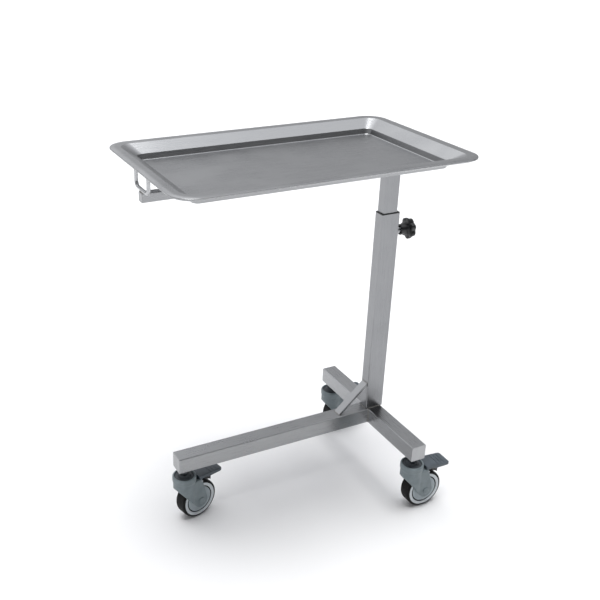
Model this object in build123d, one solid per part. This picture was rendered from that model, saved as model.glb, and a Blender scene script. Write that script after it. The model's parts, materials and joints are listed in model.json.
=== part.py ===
from build123d import *
import math
import os

# Instrument cart: a T-shaped base on three braked casters, a telescoping column with a clamp
# knob, and an overhung arm whose rod frame carries a lift-off tray.
# Millimetres, +Z up. Shapes are laid out from the column's axis: x = 0 and y = 0 on that axis,
# z = 0 on the floor, with the base leg and the tray reaching towards -X. The last step moves
# everything along X, so that the origin is under the middle of the whole cart.

# ---- driving dimensions -------------------------------------------------------------------
WHEEL_DIAMETER = 100
CASTER_HEIGHT = 150            # floor to the underside of the base tubes
BASE_TUBE = 40                 # square tube of the leg and the crossbeam
TUBE_WALL = 1.5
TUBE_CORNER = 2.5              # outside corner radius of every square or rectangular tube
LEG_LENGTH = 528               # from the crossbeam's face to the far end of the leg
CROSSBEAM_LENGTH = 425
END_PLATE = 2                  # welded plates that close the tubes

COLUMN_X, COLUMN_Y = 50, 30    # outer column, a rectangular tube
COLUMN_LENGTH = 530
INNER_X, INNER_Y = 40, 25      # telescoping column
INNER_SHIFT = -1.5             # the inner column runs closer to the wall opposite the clamp
INNER_LENGTH = 530
INNER_SHOWING = 107            # inner column between the bush and the arm, at rest
LIFT_UP, LIFT_DOWN = 270, 95   # travel of the column from rest
SHOE_HEIGHT, PLUG_HEIGHT = 12, 25   # nylon guide below and inside the inner column's end

ARM_TUBE = 20
ROD = 8                        # rod of the tray frame and its brackets
BRACKET_WIDTH = 72             # between the bracket's two upright centre lines
BRACKET_BEND = 12

TRAY_LENGTH, TRAY_WIDTH = 707, 426
TRAY_CENTRE = -262.5
TRAY_SHEET = 1.2
TRAY_CORNER = 48
RIM_ABOVE_ARM = 49.5           # top of the lip above the top of the arm
HEM_HEIGHT = 4.5               # turned-down edge of the lip
# Bends of the dish, from the lip down: inset from the tray's outline, depth, corner radius
LIP_WIDTH, LIP_CORNER = 23.5, 28
WALL_INSET, WALL_DROP, WALL_CORNER = 53, 18.5, 16
STEP_INSET, STEP_DROP, STEP_CORNER = 57, 31.5, 13
FRAME_INSET = 11               # rod frame's centre line inside the tray's outline
TRAY_GAP = 0.3                 # the lift-off tray clears the frame by this much

CLAMP_BELOW_TOP = 49           # clamp axis below the top of the outer column
CLAMP_PITCH = 1.5              # thread pitch of the clamp stud
CLAMP_TURN = 540               # degrees that the knob turns back from clamped
STUD_R = 5
BOSS_R, BOSS_LENGTH = 9, 9     # metal boss welded to the column
PAD_R, PAD_THICK = 7, 2
KNOB_HUB_R, HUB_LENGTH = 13, 20
HEAD_R, HEAD_LENGTH = 21, 15
LOBES, LOBE_R = 7, 6.5

CASTER_INSET = 20              # stem axis inside each tube end
STEM_R = 6                     # M12 stem
SOCKET_R = 13                  # threaded socket inside the tube
TRAIL = 34                     # wheel axle behind the swivel axis
SWIVEL_LEG, SWIVEL_NEAR, SWIVEL_FAR = 15, 0, 0
PEDAL_REACH = 100              # end of the brake pedal from the swivel axis
PEDAL_WIDTH = 45
PEDAL_TURN = 8                 # degrees down to the locked position

# ---- derived values -----------------------------------------------------------------------
FIT = 0.05                     # radial clearance of a running fit
GAP = 0.3                      # gap between parts that move past each other
BASE_TOP = CASTER_HEIGHT + BASE_TUBE
COLUMN_TOP = BASE_TOP + COLUMN_LENGTH
PRESS_FIT = 0.1                # play of a plug pushed into a tube
BORE_CORNER = TUBE_CORNER - TUBE_WALL - PRESS_FIT
BUSH_FLANGE = 2.5
BUSH_DEPTH = 34
ARM_BOTTOM = COLUMN_TOP + BUSH_FLANGE + INNER_SHOWING
ARM_TOP = ARM_BOTTOM + ARM_TUBE
RIM_TOP = ARM_TOP + RIM_ABOVE_ARM
TRAY_LEFT = TRAY_CENTRE - TRAY_LENGTH / 2
TRAY_RIGHT = TRAY_CENTRE + TRAY_LENGTH / 2
BRACKET_LEFT = TRAY_LEFT + FRAME_INSET
BRACKET_RIGHT = TRAY_RIGHT - FRAME_INSET
ARM_OVERHANG = 5               # arm end past the bracket's centre line
ARM_LEFT = BRACKET_LEFT - ARM_OVERHANG
ARM_RIGHT = BRACKET_RIGHT + ARM_OVERHANG
FRAME_Z = RIM_TOP - TRAY_SHEET - TRAY_GAP - ROD / 2
TRAY_FLOOR = RIM_TOP - STEP_DROP
CLAMP_Z = COLUMN_TOP - CLAMP_BELOW_TOP
WHEEL_R = WHEEL_DIAMETER / 2
LEG_END = -BASE_TUBE / 2 - LEG_LENGTH
ORIGIN_X = (TRAY_LEFT + PEDAL_REACH) / 2
CASTERS = {
    "leg": (LEG_END + CASTER_INSET, 0, SWIVEL_LEG),
    "near": (0, -CROSSBEAM_LENGTH / 2 + CASTER_INSET, SWIVEL_NEAR),
    "far": (0, CROSSBEAM_LENGTH / 2 - CASTER_INSET, SWIVEL_FAR),
}

nodes = {}


def upright(sketch, z0, z1):
    """Extrude a flat XY outline from height z0 to z1."""
    return Pos(0, 0, z0) * extrude(sketch, z1 - z0)


def disc(radius, z0, z1):
    return upright(Circle(radius), z0, z1)


def along_x(sketch, x0, x1):
    """Extrude an outline drawn in the YZ plane from x0 to x1."""
    return Pos(x0, 0, 0) * extrude(Plane.YZ * sketch, x1 - x0)


def along_y(sketch, y0, y1):
    """Extrude an outline drawn in XZ (x right, z up) from y0 to y1."""
    return Pos(0, y1, 0) * extrude(Plane.XZ * sketch, y1 - y0)


def tube_section(width, depth, wall=TUBE_WALL, corner=TUBE_CORNER):
    outside = RectangleRounded(width, depth, corner)
    inside = RectangleRounded(width - 2 * wall, depth - 2 * wall, corner - wall)
    return outside - inside


def rounded_block(width, depth, corner, z0, z1):
    return upright(RectangleRounded(width, depth, corner), z0, z1)


# ---- base -----------------------------------------------------------------------------------
def base_frame():
    """T of square tube, with end plates and a threaded socket for each caster stem."""
    mid = CASTER_HEIGHT + BASE_TUBE / 2
    square = tube_section(BASE_TUBE, BASE_TUBE)
    stem_hole = disc(STEM_R + 0.6, CASTER_HEIGHT - 1, CASTER_HEIGHT + TUBE_WALL + 1)
    leg = Pos(0, 0, mid) * along_x(square, LEG_END + END_PLATE, -BASE_TUBE / 2)
    half = CROSSBEAM_LENGTH / 2
    crossbeam = Pos(0, 0, mid) * along_y(square, -half + END_PLATE, half - END_PLATE)
    sockets = []
    for name, (x, y, turn) in CASTERS.items():
        hole = Pos(x, y, 0) * stem_hole
        if name == "leg":
            leg -= hole
        else:
            crossbeam -= hole
        socket = disc(SOCKET_R, CASTER_HEIGHT + TUBE_WALL, BASE_TOP - TUBE_WALL)
        sockets.append(Pos(x, y, 0) * (socket - disc(STEM_R + FIT, 0, BASE_TOP)))
    plate = RectangleRounded(BASE_TUBE, BASE_TUBE, TUBE_CORNER)
    plates = [
        Pos(0, 0, mid) * along_x(plate, LEG_END, LEG_END + END_PLATE),
        Pos(0, 0, mid) * along_y(plate, -half, -half + END_PLATE),
        Pos(0, 0, mid) * along_y(plate, half - END_PLATE, half),
    ]
    nodes["base_leg"] = leg
    nodes["base_crossbeam"] = crossbeam
    nodes["base_end_plates"] = Compound(children=plates)
    nodes["stem_sockets"] = Compound(children=sockets)


def column_brace(width=22, thick=6, reach=80, rise=74):
    """Flat bar welded from the leg's top up to the column."""
    slope = math.atan2(rise, reach)
    face = -COLUMN_X / 2
    side = Polyline(
        (face - reach, BASE_TOP),
        (face, BASE_TOP + rise),
        (face, BASE_TOP + rise - thick / math.cos(slope)),
        (face - reach + thick / math.sin(slope), BASE_TOP),
        close=True,
    )
    nodes["column_brace"] = along_y(make_face(side), -width / 2, width / 2)


def outer_column():
    column = upright(tube_section(COLUMN_X, COLUMN_Y), BASE_TOP, COLUMN_TOP)
    hole = Pos(0, 0, CLAMP_Z) * along_x(Circle(STUD_R + 0.5), 0, COLUMN_X)
    nodes["outer_column"] = column - hole
    hollow_x, hollow_y = COLUMN_X - 2 * TUBE_WALL, COLUMN_Y - 2 * TUBE_WALL
    bush = rounded_block(
        hollow_x - PRESS_FIT, hollow_y - PRESS_FIT, BORE_CORNER, COLUMN_TOP - BUSH_DEPTH, COLUMN_TOP
    )
    bush += rounded_block(COLUMN_X, COLUMN_Y, TUBE_CORNER, COLUMN_TOP, COLUMN_TOP + BUSH_FLANGE)
    window = rounded_block(
        INNER_X + 2 * GAP, INNER_Y + 2 * GAP, TUBE_CORNER,
        COLUMN_TOP - BUSH_DEPTH - 1, COLUMN_TOP + BUSH_FLANGE + 1,
    )
    nodes["column_bush"] = bush - Pos(INNER_SHIFT, 0, 0) * window


# ---- telescoping column, arm and tray frame ---------------------------------------------------
def inner_column():
    bottom = ARM_BOTTOM - INNER_LENGTH
    tube = upright(tube_section(INNER_X, INNER_Y), bottom, ARM_BOTTOM)
    nodes["inner_column"] = Pos(INNER_SHIFT, 0, 0) * tube
    shoe_x = COLUMN_X - 2 * TUBE_WALL - 2 * GAP
    shoe_y = COLUMN_Y - 2 * TUBE_WALL - 2 * GAP
    plug_x = INNER_X - 2 * TUBE_WALL - PRESS_FIT
    plug_y = INNER_Y - 2 * TUBE_WALL - PRESS_FIT
    guide = rounded_block(shoe_x, shoe_y, BORE_CORNER, bottom - SHOE_HEIGHT, bottom)
    plug = rounded_block(plug_x, plug_y, BORE_CORNER, bottom, bottom + PLUG_HEIGHT)
    guide += Pos(INNER_SHIFT, 0, 0) * plug
    nodes["column_guide"] = guide


def support_arm():
    """Square tube under the tray, closed at each end by a plate welded inside it."""
    mid = ARM_BOTTOM + ARM_TUBE / 2
    section = tube_section(ARM_TUBE, ARM_TUBE, corner=2)
    nodes["support_arm"] = Pos(0, 0, mid) * along_x(section, ARM_LEFT, ARM_RIGHT)
    hollow = ARM_TUBE - 2 * TUBE_WALL
    plate = RectangleRounded(hollow - PRESS_FIT, hollow - PRESS_FIT, 0.5)
    ends = [
        Pos(0, 0, mid) * along_x(plate, ARM_LEFT, ARM_LEFT + END_PLATE),
        Pos(0, 0, mid) * along_x(plate, ARM_RIGHT - END_PLATE, ARM_RIGHT),
    ]
    nodes["arm_end_plates"] = Compound(children=ends)


def tray_bracket(x):
    """U of bent rod that stands on the arm and carries one end of the frame."""
    half = BRACKET_WIDTH / 2
    low = ARM_TOP + ROD / 2
    high = FRAME_Z - ROD / 2
    path = FilletPolyline(
        (x, -half, high), (x, -half, low), (x, half, low), (x, half, high), radius=BRACKET_BEND
    )
    start = Plane(origin=(x, -half, high), z_dir=(0, 0, -1))
    return sweep(start * Circle(ROD / 2), path=path)


def tray_frame():
    length = TRAY_LENGTH - 2 * FRAME_INSET
    width = TRAY_WIDTH - 2 * FRAME_INSET
    ring = RectangleRounded(length, width, TRAY_CORNER - FRAME_INSET).wire()
    start = Plane(origin=(0, -width / 2, 0), z_dir=(1, 0, 0))
    rod = sweep(start * Circle(ROD / 2), path=ring)
    nodes["tray_frame"] = Pos(TRAY_CENTRE, 0, FRAME_Z) * rod


def section_bends():
    """Inset, height and corner radius of each bend on the inside of the dish."""
    return [
        (LIP_WIDTH, 0, LIP_CORNER),
        (WALL_INSET, -WALL_DROP, WALL_CORNER),
        (STEP_INSET, -STEP_DROP, STEP_CORNER),
    ]


def downward(start, end):
    """Unit normal on the lower side of a line of the section that runs inwards."""
    inwards, up = end[0] - start[0], end[1] - start[1]
    length = math.hypot(inwards, up)
    return up / length, -inwards / length


def underside_bends():
    """The same bends on the lower face of the sheet, one sheet thickness away."""
    inside = section_bends()
    line = [(0, 0)] + [(inset, height) for inset, height, corner in inside]
    line.append((TRAY_WIDTH / 2, -STEP_DROP))
    bends = []
    for (inset, height, corner), before, after in zip(inside, line, line[2:]):
        a = downward(before, (inset, height))
        b = downward((inset, height), after)
        reach = TRAY_SHEET / (1 + a[0] * b[0] + a[1] * b[1])
        outwards = reach * (a[0] + b[0])
        bends.append((inset + outwards, height + reach * (a[1] + b[1]), corner - outwards))
    return bends


def dish(bends):
    """Solid that fills the dish from its first bend down to its last."""
    outlines = []
    for inset, height, corner in bends:
        outline = RectangleRounded(TRAY_LENGTH - 2 * inset, TRAY_WIDTH - 2 * inset, corner)
        outlines.append(Pos(0, 0, height) * outline)
    return loft(outlines[:2], ruled=True) + loft(outlines[1:], ruled=True)


def tray():
    """Pressed sheet: flat floor, steep step, sloping wall, flat lip and a turned-down hem."""
    outline = RectangleRounded(TRAY_LENGTH, TRAY_WIDTH, TRAY_CORNER)
    inside_hem = RectangleRounded(
        TRAY_LENGTH - 2 * TRAY_SHEET, TRAY_WIDTH - 2 * TRAY_SHEET, TRAY_CORNER - TRAY_SHEET
    )
    sheet = upright(outline, -HEM_HEIGHT, 0) - upright(inside_hem, -HEM_HEIGHT, -TRAY_SHEET)
    sheet += dish(underside_bends())
    nodes["tray"] = Pos(TRAY_CENTRE, 0, RIM_TOP) * (sheet - dish(section_bends()))


# ---- clamp -----------------------------------------------------------------------------------
def clamp():
    face = COLUMN_X / 2
    inner_face = INNER_SHIFT + INNER_X / 2
    boss_end = face + BOSS_LENGTH
    boss = along_x(Circle(BOSS_R) - Circle(STUD_R + FIT), face, boss_end)
    nodes["clamp_boss"] = Pos(0, 0, CLAMP_Z) * boss
    pad_end = inner_face + GAP + PAD_THICK
    nodes["pressure_pad"] = Pos(0, 0, CLAMP_Z) * along_x(Circle(PAD_R), inner_face + GAP, pad_end)
    hub_start = boss_end + 3.5
    head_start = hub_start + HUB_LENGTH
    head_end = head_start + HEAD_LENGTH
    stud_end = head_start + 6
    stud = along_x(Circle(STUD_R), pad_end, stud_end)
    nodes["clamp_stud"] = Pos(0, 0, CLAMP_Z) * stud
    lobes = Circle(HEAD_R)
    for spot in PolarLocations(HEAD_R - 1.5, LOBES):
        lobes += spot * Circle(LOBE_R)
    knob = along_x(Circle(KNOB_HUB_R), hub_start, head_start)
    knob += along_x(lobes, head_start, head_end)
    knob += along_x(Circle(HEAD_R - 4), head_end, head_end + 3)
    knob -= along_x(Circle(BOSS_R + 0.5), hub_start, hub_start + 6)
    knob -= along_x(Circle(STUD_R), hub_start, stud_end)
    nodes["clamp_knob"] = Pos(0, 0, CLAMP_Z) * knob


# ---- casters ----------------------------------------------------------------------------------
# One caster stands on its swivel axis with the wheel trailing towards +X.
COLLAR_R = 29
COLLAR_TOP = 130
ROOF_BOTTOM, ROOF_TOP = 106, 112
BEARING_R = 11
BEARING_BOTTOM = ROOF_BOTTOM + 2
CAP_BOTTOM = COLLAR_TOP - 7
PIN_HEAD_R, PIN_HEAD_ROOM = 9, 10
TREAD_WIDTH = 32
RIM_R = 44
HUB_R = 33.5
BALL_RACE_R = 11
COVER_DEPTH = 3
AXLE_R = 4
CHEEK_IN, CHEEK_OUT = 17.5, 23.5
AXLE_CAP_R, AXLE_CAP_OUT = 10, 4.5
AXLE_END = 3                   # axle head and nut stand this far out of the cheeks
PEDAL_PIN_X, PEDAL_PIN_Z, PEDAL_PIN_R = 37, 106.5, 2
PEDAL_BOTTOM, PEDAL_TOP = 112, 121
PEDAL_ROOT = COLLAR_R + 1.5
LUG_IN, LUG_OUT = 10, 16.5


def caster_stem():
    """Threaded stem with its lock nut, and the riveted king pin that the fork turns on."""
    stem = disc(STEM_R, ROOF_BOTTOM - GAP, BASE_TOP - 6)
    head = disc(PIN_HEAD_R, ROOF_BOTTOM - 3, ROOF_BOTTOM - GAP)
    nut = upright(RegularPolygon(11, 6), CASTER_HEIGHT - 8, CASTER_HEIGHT)
    return stem + head + nut


def swivel_cap():
    cap = disc(COLLAR_R - 5.5, CAP_BOTTOM, COLLAR_TOP - 2)
    cap += disc(COLLAR_R / 2, COLLAR_TOP - 2, COLLAR_TOP + 5)
    return cap - disc(STEM_R + FIT, 0, BASE_TOP)


def swivel_bearing():
    ring = disc(BEARING_R - FIT, BEARING_BOTTOM, CAP_BOTTOM - GAP)
    return ring - disc(STEM_R + FIT, 0, BASE_TOP)


def cheek_outline():
    """Side view of the fork: a wide top that narrows to a round end about the axle."""
    shoulder = Rectangle(64, 14).moved(Location((-27 + 32, 98 + 7)))
    end = Circle(19).moved(Location((TRAIL, WHEEL_R)))
    hull = make_hull((shoulder + end).edges())
    pedal_room = Polyline(
        (PEDAL_PIN_X + 5, ROOF_TOP), (PEDAL_PIN_X + 45, ROOF_TOP - 18), (90, ROOF_TOP), close=True
    )
    return hull - make_face(pedal_room)


def caster_fork():
    """Moulded fork: a collar, a roof over the wheel and a cheek on each side of it."""
    plan = Circle(COLLAR_R) + Rectangle(80, 2 * CHEEK_OUT).moved(Location((40, 0)))
    fork = along_y(cheek_outline(), -CHEEK_OUT, CHEEK_OUT) & upright(plan, 0, COLLAR_TOP)
    fork += disc(COLLAR_R, ROOF_TOP - 6, COLLAR_TOP)
    fork -= disc(COLLAR_R - 5, CAP_BOTTOM - GAP, COLLAR_TOP + 1)
    fork -= disc(BEARING_R, BEARING_BOTTOM, COLLAR_TOP)
    fork -= disc(PIN_HEAD_ROOM, 0, ROOF_BOTTOM)
    fork -= disc(STEM_R + 1, 0, COLLAR_TOP)
    fork -= Pos(TRAIL, 0, WHEEL_R) * along_y(Circle(WHEEL_R + 4), -CHEEK_IN, CHEEK_IN)
    lug_room = Rectangle(30, 2 * CHEEK_IN).moved(Location((COLLAR_R + 16, 0)))
    fork -= upright(lug_room, ROOF_BOTTOM - 8, ROOF_TOP)
    fork -= Pos(TRAIL, 0, WHEEL_R) * along_y(Circle(AXLE_R + FIT), -CHEEK_OUT - 1, CHEEK_OUT + 1)
    pin = Pos(PEDAL_PIN_X, 0, PEDAL_PIN_Z)
    fork -= pin * along_y(Circle(PEDAL_PIN_R + FIT), -CHEEK_OUT - 1, CHEEK_OUT + 1)
    return fork


def axle():
    """Axle with a flat head and a nut inside the two cap recesses."""
    shaft = along_y(Circle(AXLE_R), -CHEEK_OUT - AXLE_END, CHEEK_OUT + AXLE_END)
    head = along_y(Circle(7), -CHEEK_OUT - AXLE_END, -CHEEK_OUT)
    nut = along_y(RegularPolygon(7.5, 6), CHEEK_OUT, CHEEK_OUT + AXLE_END)
    return Pos(TRAIL, 0, WHEEL_R) * (shaft + head + nut)


def axle_caps():
    caps = []
    for side in (-1, 1):
        low, high = sorted((side * CHEEK_OUT, side * (CHEEK_OUT + AXLE_CAP_OUT)))
        room_low, room_high = sorted((side * CHEEK_OUT, side * (CHEEK_OUT + AXLE_END)))
        cap = along_y(Circle(AXLE_CAP_R), low, high)
        cap -= along_y(Circle(AXLE_CAP_R - 2), room_low, room_high)
        caps.append(Pos(TRAIL, 0, WHEEL_R) * cap)
    return Compound(children=caps)


def wheel_parts():
    """Tread, rim, hub covers and ball bearings, turned about the axle."""
    half = TREAD_WIDTH / 2
    middle = Pos(TRAIL, 0, WHEEL_R)
    tyre = along_y(Circle(WHEEL_R), -half, half)
    tyre = fillet(tyre.edges().filter_by(GeomType.CIRCLE), 5)
    tyre -= along_y(Circle(RIM_R), -half, half)
    rim = along_y(Circle(RIM_R), -half, half) - along_y(Circle(BALL_RACE_R), -half, half)
    covers, bearings = [], []
    for side in (-1, 1):
        low, high = sorted((side * (half - COVER_DEPTH), side * half))
        groove = along_y(Circle(HUB_R + 3), low, high)
        rim -= groove
        covers.append(middle * along_y(Circle(HUB_R) - Circle(BALL_RACE_R), low, high))
        low, high = sorted((side * (half - 8), side * (half + 1)))
        bearings.append(middle * along_y(Circle(BALL_RACE_R) - Circle(AXLE_R + FIT), low, high))
    return middle * tyre, middle * rim, Compound(children=covers), Compound(children=bearings)


def brake_pedal():
    """Foot lever on a cross pin, with two lugs below it; its shoe is shaped in the locked pose."""
    pin = Pos(PEDAL_PIN_X, 0, PEDAL_PIN_Z)
    plan = Rectangle(PEDAL_REACH - PEDAL_ROOT, PEDAL_WIDTH)
    plan = plan.moved(Location(((PEDAL_REACH + PEDAL_ROOT) / 2, 0)))
    plate = upright(fillet(plan.vertices().group_by(Axis.X)[-1], 6), PEDAL_BOTTOM, PEDAL_TOP)
    ramp = Polyline((52, PEDAL_TOP), (PEDAL_REACH, PEDAL_TOP), (PEDAL_REACH, PEDAL_TOP - 4), close=True)
    plate -= along_y(make_face(ramp), -PEDAL_WIDTH, PEDAL_WIDTH)
    lug = Rectangle(9, 11).moved(Location((PEDAL_PIN_X, PEDAL_BOTTOM - 4)))
    for side in (-1, 1):
        low, high = sorted((side * LUG_IN, side * LUG_OUT))
        plate += along_y(lug, low, high)
    plate -= pin * along_y(Circle(PEDAL_PIN_R + FIT), -CHEEK_OUT, CHEEK_OUT)
    down = pin * Rot(0, PEDAL_TURN, 0) * pin.inverse()
    up = pin * Rot(0, -PEDAL_TURN, 0) * pin.inverse()
    block = Rectangle(16, 24).moved(Location((62, 98)))
    shoe = down * along_y(block, -14, 14)
    shoe -= Pos(TRAIL, 0, WHEEL_R) * along_y(Circle(WHEEL_R + 0.5), -17, 17)
    shoe = (up * shoe) - upright(Rectangle(300, 100), PEDAL_BOTTOM, PEDAL_BOTTOM + 40)
    return plate, shoe


def pedal_pin():
    return Pos(PEDAL_PIN_X, 0, PEDAL_PIN_Z) * along_y(Circle(PEDAL_PIN_R), -CHEEK_OUT, CHEEK_OUT)


def caster(name, x, y, turn):
    tread, rim, covers, bearings = wheel_parts()
    pedal, shoe = brake_pedal()
    parts = {
        "stem": caster_stem(),
        "swivel_cap": swivel_cap(),
        "swivel_bearing": swivel_bearing(),
        "fork": caster_fork(),
        "axle": axle(),
        "axle_caps": axle_caps(),
        "tread": tread,
        "rim": rim,
        "hub_covers": covers,
        "wheel_bearings": bearings,
        "brake_pedal": pedal,
        "brake_shoe": shoe,
        "pedal_pin": pedal_pin(),
    }
    for part, shape in parts.items():
        nodes[f"{name}_caster_{part}"] = Pos(x, y, 0) * Rot(0, 0, turn) * shape


def build():
    base_frame()
    column_brace()
    outer_column()
    inner_column()
    support_arm()
    nodes["tray_bracket_left"] = tray_bracket(BRACKET_LEFT)
    nodes["tray_bracket_right"] = tray_bracket(BRACKET_RIGHT)
    tray_frame()
    tray()
    clamp()
    for name, (x, y, turn) in CASTERS.items():
        caster(name, x, y, turn)


build()
os.makedirs("parts", exist_ok=True)
for node, shape in nodes.items():
    export_step(Pos(-ORIGIN_X, 0, 0) * shape, f"parts/{node}.step")
print(len(nodes), "nodes; rim top", round(RIM_TOP, 1), "tray floor", round(TRAY_FLOOR, 1))
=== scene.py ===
import json
import math

import bmesh
import bpy
from mathutils import Matrix, Vector
from mathutils.geometry import convex_hull_2d


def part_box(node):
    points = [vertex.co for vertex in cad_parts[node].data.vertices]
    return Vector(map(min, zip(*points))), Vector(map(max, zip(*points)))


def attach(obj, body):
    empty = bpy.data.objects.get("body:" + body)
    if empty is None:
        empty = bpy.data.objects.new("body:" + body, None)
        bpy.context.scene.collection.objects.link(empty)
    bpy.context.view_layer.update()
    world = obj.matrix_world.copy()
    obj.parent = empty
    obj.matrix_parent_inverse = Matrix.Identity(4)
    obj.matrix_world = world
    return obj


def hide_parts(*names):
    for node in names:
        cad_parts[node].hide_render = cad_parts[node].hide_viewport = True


# Instrument cart: brushed stainless frame and tray, moulded plastic casters and clamp knob.
# Sizes in this script are millimetres; MM turns them into the scene's metres.
# Places come from the loaded frame: node boxes and joint positions.

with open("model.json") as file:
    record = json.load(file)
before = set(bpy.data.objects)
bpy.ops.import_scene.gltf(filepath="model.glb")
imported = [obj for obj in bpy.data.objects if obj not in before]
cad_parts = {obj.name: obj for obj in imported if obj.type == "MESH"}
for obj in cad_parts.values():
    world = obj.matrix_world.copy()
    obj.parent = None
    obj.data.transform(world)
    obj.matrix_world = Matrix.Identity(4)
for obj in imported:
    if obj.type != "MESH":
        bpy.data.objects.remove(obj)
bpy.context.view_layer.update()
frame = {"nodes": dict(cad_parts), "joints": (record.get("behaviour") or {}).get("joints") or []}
joints = {joint["name"]: joint for joint in frame["joints"]}
MM = 0.001

# ---- driving dimensions -------------------------------------------------------------------
TRAY_CORNER = 48               # outline corner radius of the tray
TRAY_SHEET = 1.2
# Bends of the dish, from the lip down: inset from the tray's outline, depth, corner radius
LIP_WIDTH, LIP_CORNER = 23.5, 28
WALL_INSET, WALL_DROP, WALL_CORNER = 53, 18.5, 16
STEP_INSET, STEP_DROP, STEP_CORNER = 57, 31.5, 13
HEM_HEIGHT = 4.5
CREST_INSET, SHOULDER = 9, 1.6  # the lip is highest here, and its outer edge this much lower
LIP_DIP = 0.6                  # fall from the crest to the lip's inner edge
FLOOR_BEND, WALL_BEND, LIP_BEND, CREST_BEND, EDGE_BEND = 2.5, 2.2, 3.5, 28, 1.5
FRAME_INSET = 11               # rod frame's centre line inside the tray's outline
FRAME_BEND = TRAY_CORNER - FRAME_INSET
ROD_R = 4
BRACKET_BEND = 12
TUBE_WALL, TUBE_CORNER = 1.5, 2.5
ARM_CORNER = 2
WELD_R, WELD_PITCH = 1.3, 1.5  # ripple of a small hand-made weld

WHEEL_R = 50
TREAD_HALF = 16                # half the tread's width
RIM_R, GROOVE_R, HUB_R = 44, 36.5, 33.5
BEARING_R = 11
AXLE_CAP_R, AXLE_CAP_OUT = 8.6, 3.8
TRAIL = 34                     # axle behind the swivel axis
CHEEK_OUT, CHEEK_IN = 23.5, 17.5
CHEEK_END_R = 19
COLLAR_R, COLLAR_TOP, RECESS_R = 29, 130, 24
ROOF_BOTTOM, ROOF_TOP = 106, 112
STEM_R, NUT_R = 6, 11
STEM_PITCH, CLAMP_PITCH = 1.75, 1.5
CASTER_HEIGHT = 150            # underside of the base tubes
PEDAL_PIN_X, PEDAL_PIN_Z = 37, 106.5
PEDAL_END, PEDAL_WIDTH = 100, 45
PEDAL_BOTTOM, PEDAL_TOP = 112, 121
VOXEL = 1.1                    # grid on which moulded parts are rounded off


# ---- node trees -----------------------------------------------------------------------------
def add(tree, kind, links=None, **settings):
    """Add one node. Settings go on the node; a linked socket is joined, any other value is set."""
    node = tree.nodes.new(kind)
    for name, value in settings.items():
        setattr(node, name, value)
    for key, value in (links or {}).items():
        if isinstance(value, bpy.types.NodeSocket):
            tree.links.new(value, node.inputs[key])
        else:
            node.inputs[key].default_value = value
    return node


def linear(hex_colour):
    """An sRGB hex colour as linear RGBA."""
    parts = [int(hex_colour[i:i + 2], 16) / 255 for i in (1, 3, 5)]
    return (*[p / 12.92 if p <= 0.04045 else ((p + 0.055) / 1.055) ** 2.4 for p in parts], 1)


# ---- materials ------------------------------------------------------------------------------
def start_material(name, roughness, metallic=0.0, ior=None):
    material = bpy.data.materials.new(name)
    material.use_nodes = True
    tree = material.node_tree
    shader = tree.nodes["Principled BSDF"]
    shader.inputs["Roughness"].default_value = roughness
    shader.inputs["Metallic"].default_value = metallic
    if ior:
        shader.inputs["IOR"].default_value = ior
    return material, tree, shader


def pattern(tree, size, detail=2.0, roughness=0.5):
    """Noise whose cells measure size = (x, y, z) in millimetres on the object."""
    place = add(tree, "ShaderNodeTexCoord").outputs["Object"]
    scale = [1 / (side * MM) for side in size]
    mapped = add(tree, "ShaderNodeMapping", {"Vector": place, "Scale": scale}).outputs["Vector"]
    links = {"Vector": mapped, "Scale": 1.0, "Detail": detail, "Roughness": roughness}
    return add(tree, "ShaderNodeTexNoise", links).outputs["Fac"]


def spread(tree, value, low, high):
    """Stretch the middle of a noise value over low to high."""
    links = {"Value": value, "From Min": 0.3, "From Max": 0.7, "To Min": low, "To Max": high}
    return add(tree, "ShaderNodeMapRange", links).outputs["Result"]


def two_tones(tree, value, dark, light):
    links = {"Factor": spread(tree, value, 0, 1), 6: linear(dark), 7: linear(light)}
    return add(tree, "ShaderNodeMix", links, data_type="RGBA").outputs[2]


def bump(tree, shader, height, depth, strength):
    """Relief of the given depth in millimetres."""
    links = {"Height": height, "Distance": depth * MM, "Strength": strength}
    tree.links.new(add(tree, "ShaderNodeBump", links).outputs["Normal"], shader.inputs["Normal"])


def brushed_stainless(name, grain, dark="#98999b", light="#a9aaab"):
    """304 stainless, belt-brushed along one axis: soft long reflections and fine parallel lines.
    The real lines are 0.1 mm apart, too fine to show, so they are drawn 0.9 mm apart."""
    material, tree, shader = start_material(name, 0.3, metallic=1.0)
    size = [0.9, 0.9, 0.9]
    size[grain] = 70
    lines = pattern(tree, size, detail=3, roughness=0.65)
    clouds = pattern(tree, (90, 90, 90), detail=2)
    tone = add(tree, "ShaderNodeMath", {0: spread(tree, lines, 0, 0.6), 1: spread(tree, clouds, 0, 0.4)})
    mixed = {"Factor": tone.outputs[0], 6: linear(dark), 7: linear(light)}
    colour = add(tree, "ShaderNodeMix", mixed, data_type="RGBA").outputs[2]
    tree.links.new(colour, shader.inputs["Base Color"])
    gloss = {0: spread(tree, lines, 0.25, 0.33), 1: spread(tree, clouds, -0.02, 0.03)}
    rough = add(tree, "ShaderNodeMath", gloss)
    tree.links.new(rough.outputs[0], shader.inputs["Roughness"])
    bump(tree, shader, lines, 0.02, 0.35)
    along = [0.0, 0.0, 0.0]
    along[grain] = 1.0
    direction = add(tree, "ShaderNodeCombineXYZ", dict(enumerate(along))).outputs[0]
    tree.links.new(direction, shader.inputs["Tangent"])
    shader.inputs["Anisotropic"].default_value = 0.75
    shader.inputs["Anisotropic Rotation"].default_value = 0.25
    return material


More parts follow.
